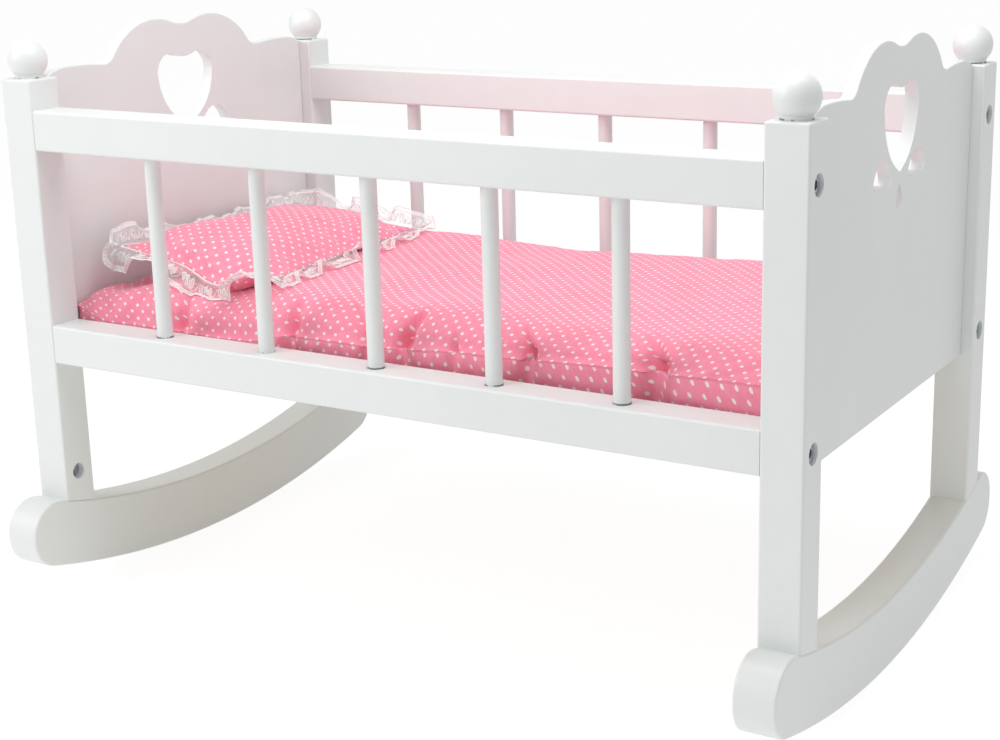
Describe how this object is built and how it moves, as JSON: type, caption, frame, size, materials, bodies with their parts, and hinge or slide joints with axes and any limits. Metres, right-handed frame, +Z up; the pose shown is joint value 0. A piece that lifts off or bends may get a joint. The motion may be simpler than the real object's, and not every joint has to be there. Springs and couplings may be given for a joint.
{
  "type": "doll cradle",
  "caption": "Wooden doll cradle on curved rockers, with spindled sides, scalloped end panels with a pierced heart, a dotted mattress and a frilled pillow.",
  "frame": {"origin": "on the floor under the middle of the bed, where the rockers stand level", "axes": "+X from the head end (pillow) to the foot end, +Y from the front side to the back side, +Z up"},
  "size_m": [0.551, 0.377, 0.3745],
  "materials": {
    "white_paint": "white satin paint",
    "bare_wood": "sanded beech",
    "board": "thin board, painted white",
    "steel": "zinc plated",
    "dotted_cotton": "woven cotton, pink with white dots",
    "net": "fine see-through net with a white scalloped edge"
  },
  "bodies": {
    "cradle": {"base_board": "board", "finial_dowels": "bare_wood", "foot_finial_back": "white_paint", "foot_finial_front": "white_paint", "foot_panel": "white_paint", "foot_post_back": "white_paint", "foot_post_front": "white_paint", "foot_rocker": "white_paint", "head_finial_back": "white_paint", "head_finial_front": "white_paint", "head_panel": "white_paint", "head_post_back": "white_paint", "head_post_front": "white_paint", "head_rocker": "white_paint", "lower_rail_back": "white_paint", "lower_rail_front": "white_paint", "panel_dowels": "bare_wood", "rail_barrel_nuts": "steel", "rail_bolts": "steel", "rail_pins": "bare_wood", "rocker_barrel_nuts": "steel", "rocker_bolts": "steel", "spindle_back_1": "white_paint", "spindle_back_2": "white_paint", "spindle_back_3": "white_paint", "spindle_back_4": "white_paint", "spindle_back_5": "white_paint", "spindle_front_1": "white_paint", "spindle_front_2": "white_paint", "spindle_front_3": "white_paint", "spindle_front_4": "white_paint", "spindle_front_5": "white_paint", "top_rail_back": "white_paint", "top_rail_front": "white_paint"},
    "mattress": {"mattress": "dotted_cotton"},
    "pillow": {"pillow": "dotted_cotton", "pillow_frill": "net"}
  },
  "joints": [
    {"name": "mattress_lift", "type": "slide", "parent": "cradle", "child": "mattress", "axis": [0, 0, 1], "range_m": [0, 0.21]},
    {"name": "pillow_lift", "type": "slide", "parent": "mattress", "child": "pillow", "axis": [0, 0, 1], "range_m": [0, 0.165]}
  ]
}
